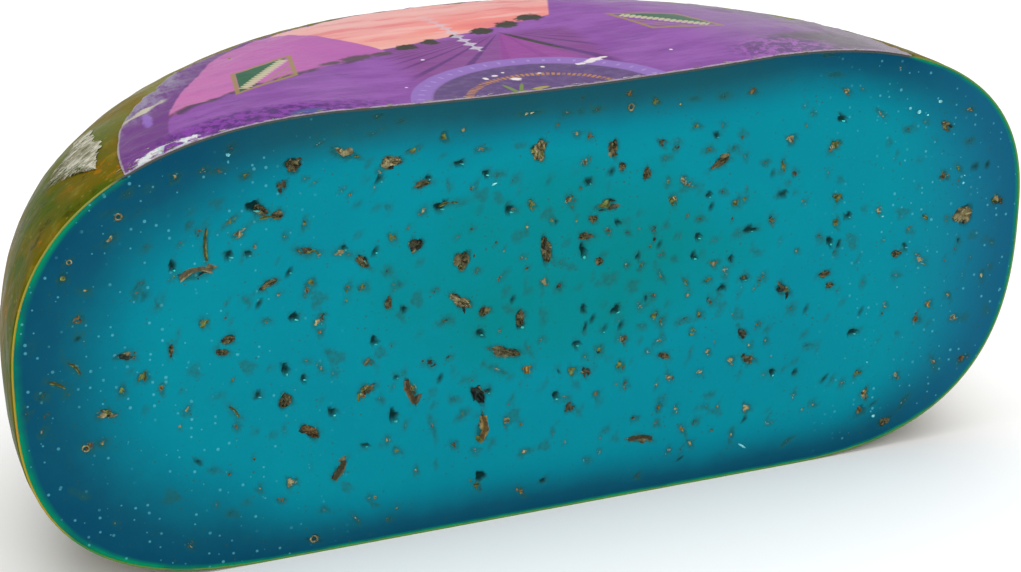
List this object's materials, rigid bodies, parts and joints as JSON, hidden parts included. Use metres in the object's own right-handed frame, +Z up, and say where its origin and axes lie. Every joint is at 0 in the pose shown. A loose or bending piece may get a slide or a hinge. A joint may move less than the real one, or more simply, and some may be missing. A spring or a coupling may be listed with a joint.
{
  "type": "half wheel of cheese",
  "caption": "Half of a round wheel of blue-green lavender cheese, cut through its middle, with coated rind, paper top label and lavender bits in the paste.",
  "frame": {"origin": "middle of the bounding box's base, on the surface that the half wheel stands on", "axes": "+Z up, +X along the cut face to the right as the cut face is looked at, -Y out of the cut face"},
  "size_m": [0.25, 0.125, 0.1054],
  "materials": {
    "paste": "moist, waxy, slightly translucent cheese",
    "coating": "glossy translucent olive rind coating",
    "label": "printed paper under a clear gloss film",
    "scrap": "torn whitish paper fibre",
    "lavender": "dry brown flower buds and stalks"
  },
  "bodies": {
    "root": {"cheese_paste": "paste", "rind_coating": "coating", "top_label": "label", "torn_scrap": "scrap", "lavender_bud_01": "lavender", "lavender_bud_02": "lavender", "lavender_bud_03": "lavender", "lavender_bud_04": "lavender", "lavender_bud_05": "lavender", "lavender_bud_06": "lavender", "lavender_bud_07": "lavender", "lavender_bud_08": "lavender", "lavender_bud_09": "lavender", "lavender_bud_10": "lavender", "lavender_bud_11": "lavender", "lavender_bud_12": "lavender", "lavender_bud_13": "lavender", "lavender_bud_14": "lavender", "lavender_bud_15": "lavender", "lavender_bud_16": "lavender", "lavender_bud_17": "lavender", "lavender_bud_18": "lavender", "lavender_bud_19": "lavender", "lavender_bud_20": "lavender", "lavender_bud_21": "lavender", "lavender_bud_22": "lavender", "lavender_bud_23": "lavender", "lavender_bud_24": "lavender", "lavender_bud_25": "lavender", "lavender_bud_26": "lavender", "lavender_bud_27": "lavender", "lavender_bud_28": "lavender", "lavender_bud_29": "lavender", "lavender_bud_30": "lavender"}
  },
  "joints": []
}
